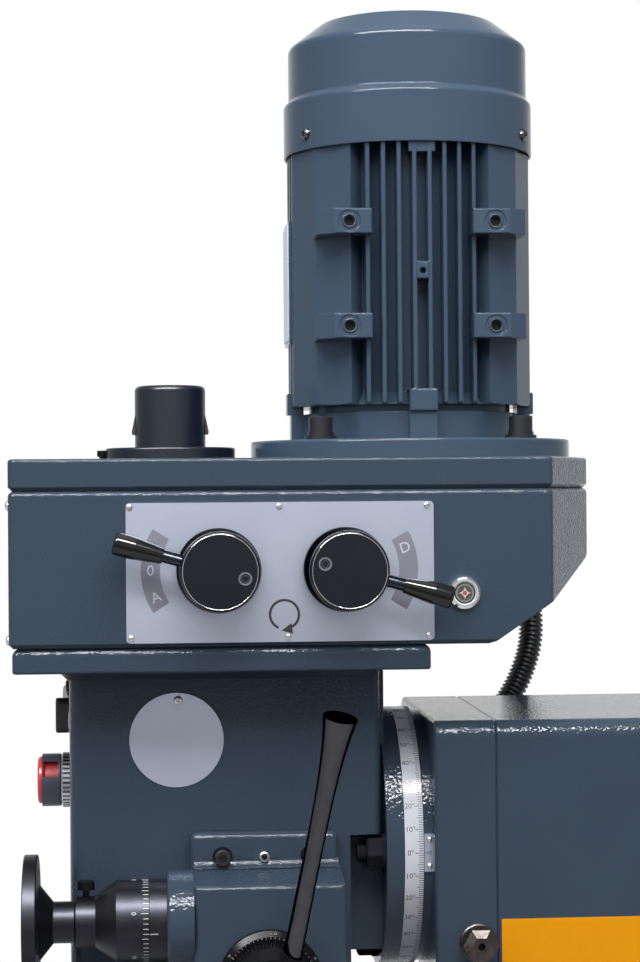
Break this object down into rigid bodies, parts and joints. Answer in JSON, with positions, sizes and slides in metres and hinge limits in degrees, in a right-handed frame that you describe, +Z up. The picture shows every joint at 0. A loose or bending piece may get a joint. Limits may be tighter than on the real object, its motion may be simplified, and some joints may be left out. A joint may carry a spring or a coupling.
{
  "type": "mill drill head",
  "caption": "Gear head of a mill drill with vertical motor, geared quill feed and tilting swivel on its ram.",
  "frame": {"origin": "on the spindle axis at the end face of the spindle nose, quill up", "axes": "+X to the operator's right, +Y to the rear along the ram, +Z up along the spindle"},
  "size_m": [0.4292, 0.7706, 0.878],
  "materials": {
    "casting_paint": "semi-gloss blue-grey enamel",
    "motor_paint": "semi-gloss blue-grey enamel",
    "black_screws": "black oxide",
    "bolt_steel": "dark steel",
    "bright_plate": "satin",
    "panel": "silky",
    "chrome_trim": "polished",
    "clear_lens": "clear",
    "black_plastic": "gloss",
    "hose": "satin",
    "black_dial": "black oxide",
    "red_button": "gloss",
    "inner_iron": "bare",
    "bright_steel": "ground",
    "bronze": "machined"
  },
  "bodies": {
    "ram": {"ram_casting": "casting_paint", "ram_front_plate": "casting_paint", "ram_side_bolts": "bolt_steel", "zero_plate": "bright_plate", "conduit_elbow": "black_plastic"},
    "head": {"head_casting": "casting_paint", "swivel_scale": "bright_plate", "swivel_studs": "bolt_steel", "gearbox_body": "casting_paint", "gearbox_lid": "casting_paint", "gearbox_base_plate": "casting_paint", "speed_panel": "panel", "sight_ring": "chrome_trim", "sight_lens": "clear_lens", "blank_plates": "bright_plate", "motor_shield": "motor_paint", "motor_frame": "motor_paint", "motor_rear_shield": "inner_iron", "fan_cowl": "motor_paint", "motor_bolts": "black_screws", "motor_stator": "inner_iron", "terminal_box": "motor_paint", "terminal_lid": "motor_paint", "conduit_gland": "black_plastic", "conduit": "hose", "drive_bearings": "bright_steel", "feed_box": "casting_paint", "feed_box_screws": "black_screws", "feed_index_ring": "black_dial", "spring_cap": "black_plastic", "switch_bezels": "chrome_trim", "lamp_lens": "clear_lens", "e_stop_shroud": "black_plastic", "cap_base": "black_plastic"},
    "quill": {"quill": "bright_steel", "spindle_bearings": "bright_steel"},
    "spindle": {"spindle": "bright_steel", "drawbar": "bright_steel"},
    "feed_hub": {"pinion_shaft": "bright_steel", "lever_hub": "black_plastic", "depth_dial": "black_dial", "feed_levers": "black_plastic"},
    "fine_feed": {"worm_shaft": "bright_steel", "feed_handwheel": "black_dial", "feed_dial": "black_dial", "dial_screw": "black_screws"},
    "worm_wheel": {"worm_wheel": "bronze"},
    "speed_left": {"speed_hub_left": "black_plastic", "speed_grip_left": "black_plastic"},
    "speed_right": {"speed_hub_right": "black_plastic", "speed_grip_right": "black_plastic"},
    "motor_rotor": {"motor_rotor": "inner_iron", "cooling_fan": "black_plastic"},
    "layshaft_1": {"layshaft_1": "bright_steel"},
    "layshaft_2": {"layshaft_2": "bright_steel"},
    "sleeve_gear": {"sleeve_gear": "bright_steel"},
    "drawbar_cap": {"drawbar_cap": "black_plastic"},
    "e_stop": {"e_stop_button": "red_button"},
    "switch_knob": {"switch_knob": "black_plastic"}
  },
  "joints": [
    {"name": "head_tilt", "type": "hinge", "parent": "ram", "child": "head", "pos_m": [0, 0.185, 0.243], "axis": [0, 1, 0], "range_deg": [-45, 45], "deforming": ["conduit"]},
    {"name": "quill_feed", "type": "slide", "parent": "head", "child": "quill", "axis": [0, 0, -1], "range_m": [0, 0.12], "stiffness_N_per_m": 600, "springref_m": -0.28},
    {"name": "spindle_spin", "type": "hinge", "parent": "quill", "child": "spindle", "pos_m": [0, 0, 0], "axis": [0, 0, 1], "continuous": true},
    {"name": "feed_turn", "type": "hinge", "parent": "head", "child": "feed_hub", "pos_m": [0, 0.06698, 0.1615], "axis": [1, 0, 0], "range_deg": [0, 263]},
    {"name": "fine_feed_turn", "type": "hinge", "parent": "head", "child": "fine_feed", "pos_m": [0.122, 0, 0.2015], "axis": [0, 1, 0], "continuous": true},
    {"name": "worm_wheel_turn", "type": "hinge", "parent": "head", "child": "worm_wheel", "pos_m": [0.122, 0.06698, 0.1615], "axis": [1, 0, 0], "continuous": true},
    {"name": "speed_left_turn", "type": "hinge", "parent": "head", "child": "speed_left", "pos_m": [0.15, 0.0322, 0.4566], "axis": [1, 0, 0], "range_deg": [0, 40]},
    {"name": "speed_right_turn", "type": "hinge", "parent": "head", "child": "speed_right", "pos_m": [0.15, 0.1235, 0.4566], "axis": [1, 0, 0], "range_deg": [0, 40]},
    {"name": "motor_spin", "type": "hinge", "parent": "head", "child": "motor_rotor", "pos_m": [0, 0.1883, 0], "axis": [0, 0, 1], "continuous": true},
    {"name": "layshaft_1_spin", "type": "hinge", "parent": "head", "child": "layshaft_1", "pos_m": [-0.03017, 0.11691, 0], "axis": [0, 0, 1], "continuous": true},
    {"name": "layshaft_2_spin", "type": "hinge", "parent": "head", "child": "layshaft_2", "pos_m": [0.03487, 0.07477, 0], "axis": [0, 0, 1], "continuous": true},
    {"name": "sleeve_spin", "type": "hinge", "parent": "head", "child": "sleeve_gear", "pos_m": [0, 0, 0], "axis": [0, 0, 1], "continuous": true},
    {"name": "cap_lift", "type": "slide", "parent": "head", "child": "drawbar_cap", "axis": [0, 0, 1], "range_m": [0, 0.06]},
    {"name": "stop_press", "type": "slide", "parent": "head", "child": "e_stop", "axis": [0, 1, 0], "range_m": [0, 0.005], "stiffness_N_per_m": 800, "springref_m": -0.003},
    {"name": "switch_turn", "type": "hinge", "parent": "head", "child": "switch_knob", "pos_m": [0, -0.08, 0.34], "axis": [0, 1, 0], "range_deg": [-45, 45]}
  ],
  "couplings": [
    {"joint": "feed_turn", "follows": "quill_feed", "rad_per_m": 38.095},
    {"joint": "worm_wheel_turn", "follows": "fine_feed_turn", "ratio": 0.035714},
    {"joint": "layshaft_1_spin", "follows": "motor_spin", "ratio": -0.55},
    {"joint": "layshaft_2_spin", "follows": "motor_spin", "ratio": 0.34737},
    {"joint": "sleeve_spin", "follows": "motor_spin", "ratio": -0.17368},
    {"joint": "spindle_spin", "follows": "motor_spin", "ratio": -0.17368}
  ]
}
